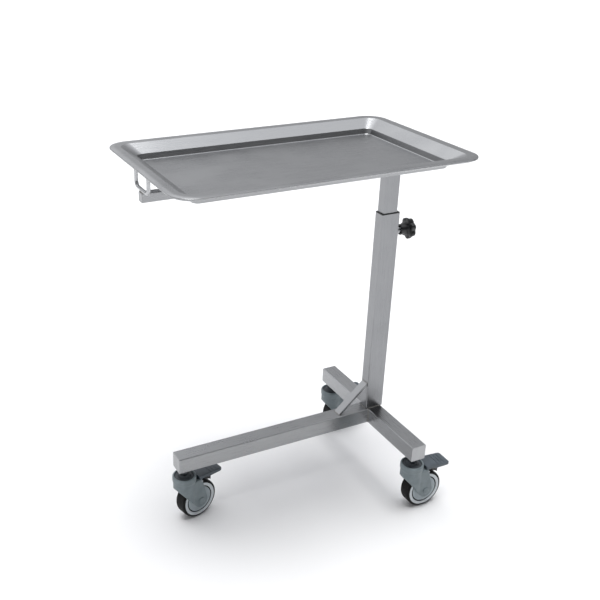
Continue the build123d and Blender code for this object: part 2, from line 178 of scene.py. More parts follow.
def satin_rod():
    """Drawn stainless rod, satin finished: brighter and smoother than the brushed tubes."""
    material, tree, shader = start_material("stainless_rod_satin", 0.24, metallic=1.0)
    marks = pattern(tree, (3, 3, 3), detail=3)
    tree.links.new(two_tones(tree, marks, "#a6a7a9", "#bcbdbe"), shader.inputs["Base Color"])
    tree.links.new(spread(tree, marks, 0.2, 0.3), shader.inputs["Roughness"])
    return material


def weld_bead_steel():
    """Stainless weld, pickled clean: duller and slightly straw-coloured beside the brushed tube."""
    material, tree, shader = start_material("stainless_weld_pickled", 0.4, metallic=1.0)
    marks = pattern(tree, (1.5, 1.5, 1.5))
    tree.links.new(two_tones(tree, marks, "#8f8d88", "#b1b0ac"), shader.inputs["Base Color"])
    return material


def zinc_plated_steel():
    """Bright zinc plating on turned steel: cool grey with faint cloudy patches."""
    material, tree, shader = start_material("steel_zinc_plated", 0.32, metallic=1.0)
    clouds = pattern(tree, (6, 6, 6), detail=3)
    tree.links.new(two_tones(tree, clouds, "#9a9fa4", "#b4b9be"), shader.inputs["Base Color"])
    tree.links.new(spread(tree, clouds, 0.26, 0.4), shader.inputs["Roughness"])
    return material


def turned_brass():
    """Lathe-turned brass: warm yellow with fine turning lines across X."""
    material, tree, shader = start_material("brass_turned", 0.28, metallic=1.0)
    lines = pattern(tree, (0.4, 20, 20))
    tree.links.new(two_tones(tree, lines, "#b08d49", "#c9a661"), shader.inputs["Base Color"])
    tree.links.new(spread(tree, lines, 0.22, 0.34), shader.inputs["Roughness"])
    return material


def moulded_plastic(name, dark, light, roughness, ior, grit=0.8):
    """Injection-moulded plastic with a spark-eroded texture: even colour, broken soft gloss.
    The texture's real grit is 0.1 mm; it is drawn at about 0.8 mm so that it shows close up."""
    material, tree, shader = start_material(name, roughness, ior=ior)
    clouds = pattern(tree, (18, 18, 18), detail=3)
    texture = pattern(tree, (grit, grit, grit), detail=2)
    tree.links.new(two_tones(tree, clouds, dark, light), shader.inputs["Base Color"])
    tree.links.new(spread(tree, clouds, roughness - 0.05, roughness + 0.06), shader.inputs["Roughness"])
    bump(tree, shader, texture, 0.03, 0.3)
    return material


def tread_rubber():
    """Black moulded rubber: deep matt black, greyed by floor dust in faint patches."""
    material, tree, shader = start_material("rubber_black_moulded", 0.62, ior=1.52)
    shader.inputs["Specular IOR Level"].default_value = 0.2
    dust = pattern(tree, (7, 7, 7), detail=4)
    tree.links.new(two_tones(tree, dust, "#050506", "#0d0d0e"), shader.inputs["Base Color"])
    tree.links.new(spread(tree, dust, 0.5, 0.72), shader.inputs["Roughness"])
    bump(tree, shader, pattern(tree, (0.7, 0.7, 0.7)), 0.03, 0.3)
    return material


def pale_floor_material():
    """Matt white painted floor with barely visible unevenness."""
    material, tree, shader = start_material("floor_matt_paint", 0.85, ior=1.45)
    clouds = pattern(tree, (700, 700, 700))
    tree.links.new(two_tones(tree, clouds, "#f3f3f4", "#f6f6f6"), shader.inputs["Base Color"])
    return material


STEEL = [brushed_stainless(f"stainless_brushed_{'xyz'[axis]}", axis) for axis in range(3)]
# Painted shade: the column gets the same brushed stainless in darker tones, so that its faces read darker
# than the other tubes.
COLUMN_STEEL = brushed_stainless("stainless_column_brushed", 2, dark="#88898b", light="#999a9c")
TRAY_STEEL = brushed_stainless("stainless_tray_brushed", 0, dark="#9b9c9e", light="#a8a9aa")
ROD_STEEL = satin_rod()
WELD = weld_bead_steel()
ZINC = zinc_plated_steel()
BRASS = turned_brass()
BLACK_NYLON = moulded_plastic("nylon_black_moulded", "#101112", "#1b1c1e", 0.38, 1.53)
GREY_NYLON = moulded_plastic("nylon_grey_moulded", "#6d787c", "#7c878b", 0.46, 1.53)
PEDAL_NYLON = moulded_plastic("nylon_pedal_moulded", "#414a51", "#4e575f", 0.44, 1.53)
CAP_NYLON = moulded_plastic("nylon_swivel_cap_moulded", "#363c40", "#444b50", 0.5, 1.53)
RIM_PLASTIC = moulded_plastic("polypropylene_rim_moulded", "#c6ccd0", "#d4d9dc", 0.4, 1.49)
HUB_PLASTIC = moulded_plastic("polypropylene_hub_moulded", "#9ca7ad", "#acb6bb", 0.36, 1.49)
RUBBER = tread_rubber()


# ---- outlines -------------------------------------------------------------------------------
def soft_line(points, closed=False, steps=6):
    """Points (a, b, radius), each corner turned into an arc of its own radius."""
    path = []
    for i, (a, b, radius) in enumerate(points):
        here = Vector((a, b))
        if radius == 0 or (not closed and i in (0, len(points) - 1)):
            path.append(here)
            continue
        before = (Vector(points[i - 1][:2]) - here).normalized()
        after = (Vector(points[(i + 1) % len(points)][:2]) - here).normalized()
        half = before.angle(after) / 2
        centre = here + (before + after).normalized() * (radius / math.sin(half))
        start = here + before * (radius / math.tan(half)) - centre
        end = here + after * (radius / math.tan(half)) - centre
        first = math.atan2(start.y, start.x)
        turn = (math.atan2(end.y, end.x) - first + math.pi) % (2 * math.pi) - math.pi
        for k in range(steps + 1):
            angle = first + turn * k / steps
            path.append(centre + radius * Vector((math.cos(angle), math.sin(angle))))
    return path


def rounded_rectangle(width, depth, radius, steps=6):
    x, y = width / 2, depth / 2
    return soft_line([(x, -y, radius), (x, y, radius), (-x, y, radius), (-x, -y, radius)], True, steps)


# ---- mesh building --------------------------------------------------------------------------
def new_mesh(name, points, faces, place=Matrix.Identity(4), edges=()):
    """A mesh from points in millimetres, moved to its place in metres."""
    mesh = bpy.data.meshes.new(name)
    mesh.from_pydata([place @ (Vector(p) * MM) for p in points], list(edges), faces)
    return mesh


def tidy_normals(mesh, merge=0.01):
    """Merge doubled points and turn all faces outwards."""
    work = bmesh.new()
    work.from_mesh(mesh)
    bmesh.ops.remove_doubles(work, verts=work.verts, dist=merge * MM)
    bmesh.ops.recalc_face_normals(work, faces=work.faces)
    work.to_mesh(mesh)
    work.free()
    return mesh


def lofted(name, rings, place=Matrix.Identity(4), closed=True):
    """Skin a stack of rings with equal point counts, closed at its start, and at its end too if closed."""
    count = len(rings[0])
    points = [p for ring in rings for p in ring]
    faces = [tuple(range(count))]
    if closed:
        faces.append(tuple(range(len(points) - count, len(points))))
    for level in range(len(rings) - 1):
        low = level * count
        for i in range(count):
            j = (i + 1) % count
            faces.append((low + i, low + j, low + count + j, low + count + i))
    return tidy_normals(new_mesh(name, points, faces, place))


def turned(name, profile, axis, place=Matrix.Identity(4), steps=64):
    """Turn a profile (distance along the axis, radius) about X, Y or Z through the local origin."""
    points, faces = [], []
    for k in range(steps):
        angle = 2 * math.pi * k / steps
        for along, radius in profile:
            point = [radius * math.cos(angle), radius * math.sin(angle)]
            point.insert(axis, along)
            points.append(point)
    count = len(profile)
    for k in range(steps):
        here, there = k * count, (k + 1) % steps * count
        for i in range(count):
            j = (i + 1) % count
            faces.append((here + i, here + j, there + j, there + i))
    mesh = tidy_normals(new_mesh(name, points, faces, place))
    work = bmesh.new()
    work.from_mesh(mesh)
    bmesh.ops.dissolve_degenerate(work, edges=work.edges, dist=0.001 * MM)
    work.to_mesh(mesh)
    work.free()
    return mesh


def put(name, mesh):
    """A plain object at the origin that shows a mesh."""
    obj = bpy.data.objects.new(name, mesh)
    bpy.context.scene.collection.objects.link(obj)
    return obj


def evaluated_mesh(obj):
    """The object's mesh with its modifiers applied; the object itself is removed."""
    graph = bpy.context.evaluated_depsgraph_get()
    mesh = bpy.data.meshes.new_from_object(obj.evaluated_get(graph), depsgraph=graph)
    bpy.data.objects.remove(obj)
    return mesh


def carved(mesh, steps):
    """Join or cut a solid by others: steps are (operation, mesh) pairs."""
    body = put("carved", mesh)
    tools = []
    for operation, tool_mesh in steps:
        tool = put("tool", tool_mesh)
        modifier = body.modifiers.new(operation, "BOOLEAN")
        modifier.operation = operation
        modifier.solver = "EXACT"
        modifier.object = tool
        tools.append(tool)
    result = evaluated_mesh(body)
    for tool in tools:
        bpy.data.objects.remove(tool)
    return result


def moulded(mesh, voxel=VOXEL, rounds=8):
    """Round every edge and hollow of a solid as a moulding's are: remesh finely, then smooth."""
    obj = put("moulded", mesh)
    remesh = obj.modifiers.new("grid", "REMESH")
    remesh.mode = "VOXEL"
    remesh.voxel_size = voxel * MM
    smooth = obj.modifiers.new("soften", "SMOOTH")
    smooth.factor = 0.5
    smooth.iterations = rounds
    return evaluated_mesh(obj)


def joined(name, *meshes):
    """One mesh from several, keeping their materials."""
    materials = []
    work = bmesh.new()
    for mesh in meshes:
        before = len(work.faces)
        work.from_mesh(mesh)
        work.faces.ensure_lookup_table()
        slots = []
        for material in mesh.materials:
            if material not in materials:
                materials.append(material)
            slots.append(materials.index(material))
        for face in work.faces[before:]:
            face.material_index = slots[face.material_index] if slots else 0
    result = bpy.data.meshes.new(name)
    work.to_mesh(result)
    work.free()
    for material in materials:
        result.materials.append(material)
    return result


def piece(name, mesh, material, body, replaces=(), sharp=35, soft_edge=0.0):
    """Finish one visible piece: shading, material, edge rounding, and the body it moves with."""
    obj = put(name, mesh)
    if material:
        mesh.materials.clear()
        mesh.materials.append(material)
    mesh.shade_smooth()
    mesh.set_sharp_from_angle(angle=math.radians(sharp))
    if soft_edge:
        bevel = obj.modifiers.new("soft_edge", "BEVEL")
        bevel.width = soft_edge * MM
        bevel.segments = 2
        bevel.limit_method = "ANGLE"
        bevel.angle_limit = math.radians(sharp)
        bevel.harden_normals = False
    weighted = obj.modifiers.new("flat_faces_rule", "WEIGHTED_NORMAL")
    weighted.keep_sharp = True
    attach(obj, body)
    if replaces:
        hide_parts(*replaces)
    return obj


# ---- geometry node trees --------------------------------------------------------------------
def node_tree(name, sizes):
    """An empty tree with a geometry input and output, a material and named number inputs."""
    tree = bpy.data.node_groups.new(name, "GeometryNodeTree")
    tree.interface.new_socket("Line", in_out="INPUT", socket_type="NodeSocketGeometry")
    tree.interface.new_socket("Material", in_out="INPUT", socket_type="NodeSocketMaterial")
    for size in sizes:
        tree.interface.new_socket(size, in_out="INPUT", socket_type="NodeSocketFloat")
    tree.interface.new_socket("Geometry", in_out="OUTPUT", socket_type="NodeSocketGeometry")
    return tree, add(tree, "NodeGroupInput").outputs


def end_tree(tree, start, geometry):
    """Every tree ends in real geometry with its material."""
    real = add(tree, "GeometryNodeRealizeInstances", {"Geometry": geometry}).outputs[0]
    shown = add(tree, "GeometryNodeSetMaterial", {"Geometry": real, "Material": start["Material"]})
    add(tree, "NodeGroupOutput", {0: shown.outputs[0]})
    return tree


def rod_tree():
    """Round rod along a line, its corners bent to one radius, its open ends closed."""
    tree, start = node_tree("bent_rod", ["Rod radius", "Bend radius"])
    line = add(tree, "GeometryNodeMeshToCurve", {"Mesh": start["Line"]}).outputs[0]
    bends = {"Curve": line, "Radius": start["Bend radius"], "Count": 12, "Limit Radius": True}
    bent = add(tree, "GeometryNodeFilletCurve", bends, mode="POLY").outputs[0]
    circle = {"Resolution": 20, "Radius": start["Rod radius"]}
    section = add(tree, "GeometryNodeCurvePrimitiveCircle", circle).outputs[0]
    sweep = {"Curve": bent, "Profile Curve": section, "Fill Caps": True}
    return end_tree(tree, start, add(tree, "GeometryNodeCurveToMesh", sweep).outputs[0])


def tube_tree():
    """Thin-walled tube along +Z: the surface of a rounded rectangle, open at both ends."""
    tree, start = node_tree("rolled_tube", ["Width", "Depth", "Corner radius", "Length"])
    outline = {"Width": start["Width"], "Height": start["Depth"]}
    rectangle = add(tree, "GeometryNodeCurvePrimitiveQuadrilateral", outline).outputs[0]
    corners = {"Curve": rectangle, "Radius": start["Corner radius"], "Count": 6, "Limit Radius": True}
    section = add(tree, "GeometryNodeFilletCurve", corners, mode="POLY").outputs[0]
    top = add(tree, "ShaderNodeCombineXYZ", {2: start["Length"]}).outputs[0]
    line = add(tree, "GeometryNodeCurvePrimitiveLine", {"Start": (0, 0, 0), "End": top}).outputs[0]
    sweep = {"Curve": line, "Profile Curve": section}
    return end_tree(tree, start, add(tree, "GeometryNodeCurveToMesh", sweep).outputs[0])


def bead_tree():
    """Weld bead: small overlapping drops at an even spacing along a line."""
    tree, start = node_tree("weld_bead", ["Drop radius", "Spacing"])
    line = add(tree, "GeometryNodeMeshToCurve", {"Mesh": start["Line"]}).outputs[0]
    even = {"Curve": line, "Length": start["Spacing"]}
    spots = add(tree, "GeometryNodeCurveToPoints", even, mode="LENGTH").outputs[0]
    ball = {"Radius": start["Drop radius"], "Subdivisions": 2}
    drop = add(tree, "GeometryNodeMeshIcoSphere", ball).outputs[0]
    drops = add(tree, "GeometryNodeInstanceOnPoints", {"Points": spots, "Instance": drop})
    return end_tree(tree, start, drops.outputs[0])


def rib_tree():
    """Round-topped grip ribs: one rib on each point of a line of points."""
    tree, start = node_tree("grip_ribs", ["Rib length", "Rib radius"])
    run = {"Start": (0, 0, 0), "End": (0, 1, 0)}
    middle = add(tree, "ShaderNodeMath", {0: start["Rib length"], 1: 0.5}, operation="MULTIPLY").outputs[0]
    back = add(tree, "ShaderNodeMath", {0: start["Rib length"], 1: -0.5}, operation="MULTIPLY").outputs[0]
    run["Start"] = add(tree, "ShaderNodeCombineXYZ", {1: back}).outputs[0]
    run["End"] = add(tree, "ShaderNodeCombineXYZ", {1: middle}).outputs[0]
    line = add(tree, "GeometryNodeCurvePrimitiveLine", run).outputs[0]
    circle = {"Resolution": 14, "Radius": start["Rib radius"]}
    section = add(tree, "GeometryNodeCurvePrimitiveCircle", circle).outputs[0]
    sweep = {"Curve": line, "Profile Curve": section, "Fill Caps": True}
    rib = add(tree, "GeometryNodeCurveToMesh", sweep).outputs[0]
    ribs = add(tree, "GeometryNodeInstanceOnPoints", {"Points": start["Line"], "Instance": rib})
    return end_tree(tree, start, ribs.outputs[0])


def thread_tree():
    """Screw thread: a thin round ridge wound about +Z."""
    tree, start = node_tree("screw_thread", ["Thread radius", "Height", "Turns", "Ridge radius"])
    coil = {"Resolution": 24, "Rotations": start["Turns"], "Start Radius": start["Thread radius"],
            "End Radius": start["Thread radius"], "Height": start["Height"]}
    helix = add(tree, "GeometryNodeCurveSpiral", coil).outputs[0]
    circle = {"Resolution": 6, "Radius": start["Ridge radius"]}
    section = add(tree, "GeometryNodeCurvePrimitiveCircle", circle).outputs[0]
    sweep = {"Curve": helix, "Profile Curve": section, "Fill Caps": True}
    return end_tree(tree, start, add(tree, "GeometryNodeCurveToMesh", sweep).outputs[0])


def grown(name, tree, line, material, place=Matrix.Identity(4), **sizes):
    """Run a tree on a line and keep the result as a plain mesh in its place."""
    obj = put(name, line)
    modifier = obj.modifiers.new("grow", "NODES")
    modifier.node_group = tree
    values = {key.replace("_", " ").capitalize(): value * MM for key, value in sizes.items()}
    if "Turns" in values:
        values["Turns"] = sizes["turns"]
    values["Material"] = material
    for item in tree.interface.items_tree:
        if item.in_out == "INPUT" and item.name in values:
            modifier[item.identifier] = values[item.name]
    mesh = evaluated_mesh(obj)
    mesh.transform(place)
    mesh.name = name
    return mesh


def polyline(points, closed=False):
    """A mesh of edges through points in millimetres."""
    edges = [(i, i + 1) for i in range(len(points) - 1)]
    if closed:
        edges.append((len(points) - 1, 0))
    return new_mesh("line", points, [], edges=edges)


def dots(points):
    return new_mesh("dots", points, [])


ROD, TUBE, BEAD, RIBS, THREAD = rod_tree(), tube_tree(), bead_tree(), rib_tree(), thread_tree()


def box_mm(node):
    low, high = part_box(node)
    return low / MM, high / MM


# ---- tray -----------------------------------------------------------------------------------
def corner_radius(inset):
    """Corner radius of the dish at a distance inside its outline, straight between its bends."""
    bends = [
        (0, TRAY_CORNER),
        (LIP_WIDTH, LIP_CORNER),
        (WALL_INSET, WALL_CORNER),
        (STEP_INSET, STEP_CORNER),
    ]
    for (near, wide), (far, tight) in zip(bends, bends[1:]):
        if inset <= far:
            return wide + (tight - wide) * (inset - near) / (far - near)
    return STEP_CORNER - (inset - STEP_INSET)


def tray_piece():
    """Pressed sheet: floor, steep step, sloping wall, gently domed lip and turned-down hem."""
    low, high = box_mm("tray")
    middle = (low + high) / 2
    section = soft_line([
        (STEP_INSET + FLOOR_BEND + 1, -STEP_DROP, 0),
        (STEP_INSET, -STEP_DROP, FLOOR_BEND),
        (WALL_INSET, -WALL_DROP, WALL_BEND),
        (LIP_WIDTH, -LIP_DIP, LIP_BEND),
        (CREST_INSET, 0, CREST_BEND),
        (0, -SHOULDER, EDGE_BEND),
        (0, -HEM_HEIGHT, 0),
    ], steps=8)
    rings = []
    for inset, height in section:
        size = high - low - Vector((2 * inset, 2 * inset, 0))
        ring = rounded_rectangle(size.x, size.y, corner_radius(inset), steps=20)
        rings.append([(middle.x + x, middle.y + y, high.z + height) for x, y in ring])
    mesh = lofted("tray_sheet", rings, closed=False)
    floor_face = max(mesh.polygons, key=lambda face: face.area)
    if floor_face.normal.z < 0:
        mesh.flip_normals()
    return mesh


def add_tray():
    obj = piece("tray_pressed", tray_piece(), TRAY_STEEL, "tray", ["tray"], sharp=50)
    wall = obj.modifiers.new("sheet", "SOLIDIFY")
    wall.thickness = TRAY_SHEET * MM
    wall.offset = -1
    wall.use_even_offset = True
    obj.modifiers.move(1, 0)


# ---- rods under the tray --------------------------------------------------------------------
def add_rods():
    low, high = box_mm("tray_frame")
    z = (low.z + high.z) / 2
    x0, x1 = low.x + ROD_R, high.x - ROD_R
    y0, y1 = low.y + ROD_R, high.y - ROD_R
    ring = polyline([(x0, y0, z), (x1, y0, z), (x1, y1, z), (x0, y1, z)], closed=True)
    mesh = grown("frame_ring", ROD, ring, ROD_STEEL, rod_radius=ROD_R, bend_radius=FRAME_BEND)
    piece("tray_frame_rod", tidy_normals(mesh), None, "mast", ["tray_frame"])
    for side in ("left", "right"):
        low, high = box_mm(f"tray_bracket_{side}")
        x = (low.x + high.x) / 2
        foot = low.z + ROD_R
        y0, y1 = low.y + ROD_R, high.y - ROD_R
        line = polyline([(x, y0, high.z), (x, y0, foot), (x, y1, foot), (x, y1, high.z)])
        rod = grown("bracket", ROD, line, ROD_STEEL, rod_radius=ROD_R, bend_radius=BRACKET_BEND)
        seams = []
        for edge in (-1, 1):
            seam = polyline([(x + edge * 2.6, -9, low.z + 0.6), (x + edge * 2.6, 9, low.z + 0.6)])
            seams.append(grown("seam", BEAD, seam, WELD, drop_radius=WELD_R, spacing=WELD_PITCH))
        mesh = joined(f"bracket_{side}", tidy_normals(rod), *seams)
        piece(f"tray_bracket_rod_{side}", mesh, None, "mast", [f"tray_bracket_{side}"])


# ---- square and rectangular tubes -----------------------------------------------------------
def tube(name, node, axis, corner, material, body):
    """Hollow tube that fills a node's box, its length along the given axis."""
    low, high = box_mm(node)
    size = high - low
    middle = (low + high) / 2
    middle[axis] = low[axis]
    turn = [
        Matrix.Rotation(math.pi / 2, 4, "Y"),
        Matrix.Rotation(-math.pi / 2, 4, "X"),
        Matrix.Identity(4),
    ][axis]
    place = Matrix.Translation(middle * MM) @ turn
    width, depth = [(size.z, size.y), (size.x, size.z), (size.x, size.y)][axis]
    start = polyline([(0, 0, 0), (0, 0, 1)])
    mesh = grown(name, TUBE, start, material, place, width=width, depth=depth, corner_radius=corner,
                 length=size[axis])
    mesh = tidy_normals(mesh)
    face = mesh.polygons[0]
    outward = face.center - middle * MM
    outward[axis] = 0
    if outward.dot(face.normal) < 0:
        mesh.flip_normals()
    obj = piece(name, mesh, None, body, [node])
    wall = obj.modifiers.new("wall", "SOLIDIFY")
    wall.thickness = TUBE_WALL * MM
    wall.offset = -1
    wall.use_even_offset = True
    obj.modifiers.move(1, 0)
    return obj


def end_plate(low, high, axis, outward, corner, edge=0.9):
    """Plate ground flush with its tube, its outer edge rounded."""
    size, middle = high - low, (low + high) / 2
    across = [i for i in range(3) if i != axis]
    inner, outer = (low[axis], high[axis]) if outward > 0 else (high[axis], low[axis])
    levels = [(inner, 0)]
    for k in range(5):
        angle = math.pi / 2 * k / 4
        levels.append((outer - outward * edge * (1 - math.sin(angle)), edge * (1 - math.cos(angle))))
    rings = []
    for along, inset in levels:
        outline = rounded_rectangle(size[across[0]] - 2 * inset, size[across[1]] - 2 * inset, corner)
        ring = []
        for a, b in outline:
            point = [middle[across[0]] + a, middle[across[1]] + b]
            point.insert(axis, along)
            ring.append(point)
        rings.append(ring)
    return lofted("plate", rings)


def add_base_frame():
    tube("base_leg_tube", "base_leg", 0, TUBE_CORNER, STEEL[0], "base")
    tube("base_crossbeam_tube", "base_crossbeam", 1, TUBE_CORNER, STEEL[1], "base")
    leg_low, leg_high = box_mm("base_leg")
    beam_low, beam_high = box_mm("base_crossbeam")
    plates_low, plates_high = box_mm("base_end_plates")
    left = end_plate(Vector((plates_low.x, leg_low.y, leg_low.z)),
                     Vector((leg_low.x, leg_high.y, leg_high.z)), 0, -1, TUBE_CORNER)
    near = end_plate(Vector((beam_low.x, plates_low.y, beam_low.z)),
                     Vector((beam_high.x, beam_low.y, beam_high.z)), 1, -1, TUBE_CORNER)
    far = end_plate(Vector((beam_low.x, beam_high.y, beam_low.z)),
                    Vector((beam_high.x, plates_high.y, beam_high.z)), 1, 1, TUBE_CORNER)
    plates = joined("plates", left, near, far)
    piece("base_end_plates_ground", plates, STEEL[2], "base", ["base_end_plates"], sharp=60)


def add_column_and_arm():
    tube("outer_column_tube", "outer_column", 2, TUBE_CORNER, COLUMN_STEEL, "base")
    tube("inner_column_tube", "inner_column", 2, TUBE_CORNER, COLUMN_STEEL, "mast")
    tube("support_arm_tube", "support_arm", 0, ARM_CORNER, STEEL[0], "mast")


def add_brace():
    """Flat bar from the leg up to the column, its long edges slightly rounded."""
    low, high = box_mm("column_brace")
    slope = math.atan2(high.z - low.z, high.x - low.x)
    thick = 6
    side = [
        (low.x, low.z),
        (high.x, high.z),
        (high.x, high.z - thick / math.cos(slope)),
        (low.x + thick / math.sin(slope), low.z),
    ]
    rings = [[(x, y, z) for x, z in side] for y in (low.y, high.y)]
    bar = piece("column_brace_bar", lofted("brace", rings), STEEL[0], "base",
                ["column_brace"], soft_edge=0.7)
    return bar


def add_welds():
    """Small fillet welds where the base tubes, the column and the brace meet."""
    leg_low, leg_high = box_mm("base_leg")
    column_low, column_high = box_mm("outer_column")
    brace_low, brace_high = box_mm("column_brace")
    joint_x = leg_high.x
    lines = []
    for y in (leg_low.y, leg_high.y):
        lines.append([(joint_x, y, leg_low.z + 2), (joint_x, y, leg_high.z - 2)])
    lines.append([(joint_x, leg_low.y + 2, leg_high.z - 0.4), (joint_x, leg_high.y - 2, leg_high.z - 0.4)])
    z = column_low.z
    x0, x1, y0, y1 = column_low.x, column_high.x, column_low.y, column_high.y
    beam_low, beam_high = box_mm("base_crossbeam")
    for y in (y0, y1):
        lines.append([(beam_low.x + 2, y, z), (beam_high.x - 2, y, z)])
    lines.append([(x0, y0 + 3, z), (x0, y1 - 3, z)])
    lines.append([(brace_low.x, brace_low.y, z), (brace_low.x, brace_high.y, z)])
    lines.append([(brace_high.x, brace_low.y, brace_high.z), (brace_high.x, brace_high.y, brace_high.z)])
    for y in (brace_low.y, brace_high.y):
        lines.append([(brace_low.x, y, z), (brace_low.x + 8, y, z)])
    beads = []
    for line in lines:
        beads.append(grown("bead", BEAD, polyline(line), WELD, drop_radius=WELD_R, spacing=WELD_PITCH))
    piece("base_welds", joined("welds", *beads), None, "base")


# ---- bush and clamp -------------------------------------------------------------------------
def add_bush():
    """Black plastic bush: a thin flange on the column's end and a skirt down inside it."""
    low, high = box_mm("column_bush")
    column_low, column_high = box_mm("outer_column")
    inner_low, inner_high = box_mm("inner_column")
    middle = (low + high) / 2
    hole_middle = (inner_low + inner_high) / 2
    flange_z = column_high.z
    hollow = Vector((column_high.x - column_low.x - 2 * TUBE_WALL - 0.1,
                     column_high.y - column_low.y - 2 * TUBE_WALL - 0.1))
    window = Vector((inner_high.x - inner_low.x + 0.6, inner_high.y - inner_low.y + 0.6))
    flange = Vector((high.x - low.x, high.y - low.y))

    def ring(size, corner, centre, z):
        return [(centre.x + a, centre.y + b, z) for a, b in rounded_rectangle(size.x, size.y, corner)]

    soft = Vector((0.9, 0.9))
    rings = [
        ring(window, TUBE_CORNER, hole_middle, low.z),
        ring(hollow, 0.9, middle, low.z),
        ring(hollow, 0.9, middle, flange_z),
        ring(flange, TUBE_CORNER, middle, flange_z),
        ring(flange, TUBE_CORNER, middle, high.z - 0.8),
        ring(flange - soft, TUBE_CORNER - 0.4, middle, high.z - 0.2),
        ring(flange - 2 * soft, TUBE_CORNER - 0.8, middle, high.z),
        ring(window, TUBE_CORNER, hole_middle, high.z),
        ring(window, TUBE_CORNER, hole_middle, low.z),
    ]
    count = len(rings[0])
    points = [p for r in rings for p in r]
    faces = []
    for level in range(len(rings) - 1):
        here = level * count
        for i in range(count):
            j = (i + 1) % count
            faces.append((here + i, here + j, here + count + j, here + count + i))
    mesh = tidy_normals(new_mesh("bush", points, faces))
    piece("column_bush_moulded", mesh, BLACK_NYLON, "base", ["column_bush"], sharp=50)


def knob_radius(angle, depth, lobes=7, reach=26):
    """Outline of the knob's grip: broad lobes with narrower finger hollows between them."""
    wave = 0.5 + 0.5 * math.cos(lobes * angle)
    return reach - depth * (1 - wave ** 0.7)


def add_clamp():
    """Clamp: turned boss on the column, threaded stud, and a hollow-hubbed lobed knob."""
    axis_at = joints["clamp_knob_turn"]["pos_m"]
    boss_low, boss_high = box_mm("clamp_boss")
    knob_low, knob_high = box_mm("clamp_knob")
    stud_low, stud_high = box_mm("clamp_stud")
    centre = Matrix.Translation((0, axis_at[1], axis_at[2]))
    boss_r = (boss_high.z - boss_low.z) / 2
    bore = 5.05
    profile = soft_line([(boss_low.x, bore, 0), (boss_low.x, boss_r, 0), (boss_high.x, boss_r, 1),
                         (boss_high.x, bore, 0.5)], closed=True, steps=3)
    piece("clamp_boss_turned", turned("boss", profile, 0, centre), STEEL[2], "base",
          ["clamp_boss"])
    stud_r = 4.6
    shaft = soft_line([(stud_low.x, 0, 0), (stud_low.x, stud_r, 0.8), (stud_high.x, stud_r, 0.8),
                       (stud_high.x, 0, 0)], steps=3)
    length = stud_high.x - stud_low.x
    along_x = centre @ Matrix.Translation((stud_low.x * MM, 0, 0)) @ Matrix.Rotation(math.pi / 2, 4, "Y")
    ridge = grown("stud_thread", THREAD, polyline([(0, 0, 0), (0, 0, 1)]), ZINC, along_x,
                  thread_radius=stud_r, height=length, turns=length / CLAMP_PITCH, ridge_radius=0.35)
    stud = turned("stud", shaft, 0, centre, steps=32)
    stud.materials.append(ZINC)
    piece("clamp_stud_threaded", joined("stud", stud, ridge), None, "clamp_knob",
          ["clamp_stud"])
    hub_start, head_end = knob_low.x, knob_high.x
    head_start = hub_start + 20
    hub_r, grip = 13, 4.6
    levels = [
        (hub_start + 6, 4.95, 0), (hub_start + 6, 9.5, 0), (hub_start + 0.7, 9.5, 0),
        (hub_start, 10.2, 0), (hub_start, 12.2, 0), (hub_start + 0.8, hub_r, 0),
        (head_start - 3, hub_r, 0), (head_start - 1, hub_r + 0.8, 0), (head_start, hub_r + 3, 0),
        (head_start, 21, grip), (head_start + 0.7, 25, grip), (head_start + 2, 26, grip),
        (head_start + 9, 26, grip), (head_start + 12, 25, grip), (head_start + 14, 22.5, grip * 0.8),
        (head_start + 15, 19, grip * 0.4), (head_start + 15.3, 16.8, 0), (head_start + 17, 16, 0),
        (head_end - 0.3, 13, 0), (head_end, 8, 0), (head_end, 0.5, 0),
    ]
    rings = []
    for along, reach, depth in levels:
        ring = []
        for k in range(112):
            angle = 2 * math.pi * k / 112
            radius = knob_radius(angle, depth, reach=reach)
            ring.append((along, radius * math.cos(angle), radius * math.sin(angle)))
        rings.append(ring)
    knob = lofted("knob", rings, centre)
    piece("clamp_knob_moulded", knob, BLACK_NYLON, "clamp_knob", ["clamp_knob"], sharp=50)


# ---- casters --------------------------------------------------------------------------------
def fork_side():
    """Side outline of the fork: a wide top that narrows to a round end about the axle."""
    points = [(-27, 98), (37, 98), (37, ROOF_TOP), (-27, ROOF_TOP)]
    for k in range(48):
        angle = 2 * math.pi * k / 48
        points.append((TRAIL + CHEEK_END_R * math.cos(angle), WHEEL_R + CHEEK_END_R * math.sin(angle)))
    return [points[i] for i in convex_hull_2d(points)]


def slab(outline, axis, low, high):
    """A flat outline given a thickness along one axis."""
    rings = []
    for along in (low, high):
        ring = []
        for a, b in outline:
            point = [a, b]
            point.insert(axis, along)
            ring.append(point)
        rings.append(ring)
    return lofted("slab", rings)


def cylinder(radius, axis, low, high, centre=(0, 0, 0), steps=72):
    mesh = turned("cylinder", [(low, 0), (low, radius), (high, radius), (high, 0)], axis, steps=steps)
    mesh.transform(Matrix.Translation(Vector(centre) * MM))
    return mesh


